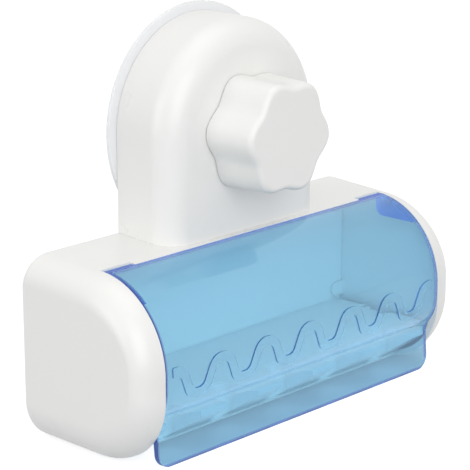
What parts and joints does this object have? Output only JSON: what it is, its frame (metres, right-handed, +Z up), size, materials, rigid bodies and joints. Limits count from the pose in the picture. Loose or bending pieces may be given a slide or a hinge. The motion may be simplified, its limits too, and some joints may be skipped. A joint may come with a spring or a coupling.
{
  "type": "toothbrush holder",
  "caption": "Wall toothbrush holder: barrel-fronted slotted rack with a clear flip-up cover, held by a suction cup that a knob tightens.",
  "frame": {"origin": "on the surface the rack stands on, under the middle of the overall box", "axes": "+X along the rack, -Y out to the user, +Y into the wall, +Z up"},
  "size_m": [0.155, 0.0552, 0.1348],
  "materials": {
    "white_plastic": "gloss white moulding",
    "clear_blue_plastic": "clear blue, polished",
    "clear_soft_plastic": "clear soft plastic, smooth",
    "stud_plastic": "satin moulding",
    "washer_plastic": "satin slip plastic",
    "brass": "turned",
    "plated_steel": "zinc plated"
  },
  "bodies": {
    "holder": {"rack_housing": "white_plastic", "back_plate": "white_plastic", "back_screw_lower_left": "plated_steel", "back_screw_lower_right": "plated_steel", "back_screw_upper_left": "plated_steel", "back_screw_upper_right": "plated_steel", "brush_rack": "white_plastic", "mount_housing": "white_plastic", "mount_screw_left": "plated_steel", "mount_screw_right": "plated_steel", "thrust_washer": "washer_plastic"},
    "cover": {"flip_cover": "clear_blue_plastic"},
    "stud": {"pull_stud": "stud_plastic", "suction_cup": "clear_soft_plastic"},
    "knob": {"knob": "white_plastic", "knob_nut": "brass"}
  },
  "joints": [
    {"name": "cover_hinge", "type": "hinge", "parent": "holder", "child": "cover", "pos_m": [0, -0.00449, 0.05689], "axis": [-1, 0, 0], "range_deg": [0, 80]},
    {"name": "knob_turn", "type": "hinge", "parent": "holder", "child": "knob", "pos_m": [0, 0, 0.0948], "axis": [0, -1, 0], "range_deg": [0, 720]},
    {"name": "stud_slide", "type": "slide", "parent": "holder", "child": "stud", "axis": [0, 1, 0], "range_m": [0, 0.004]}
  ],
  "couplings": [
    {"joint": "stud_slide", "follows": "knob_turn", "m_per_rad": 0.00031831}
  ]
}
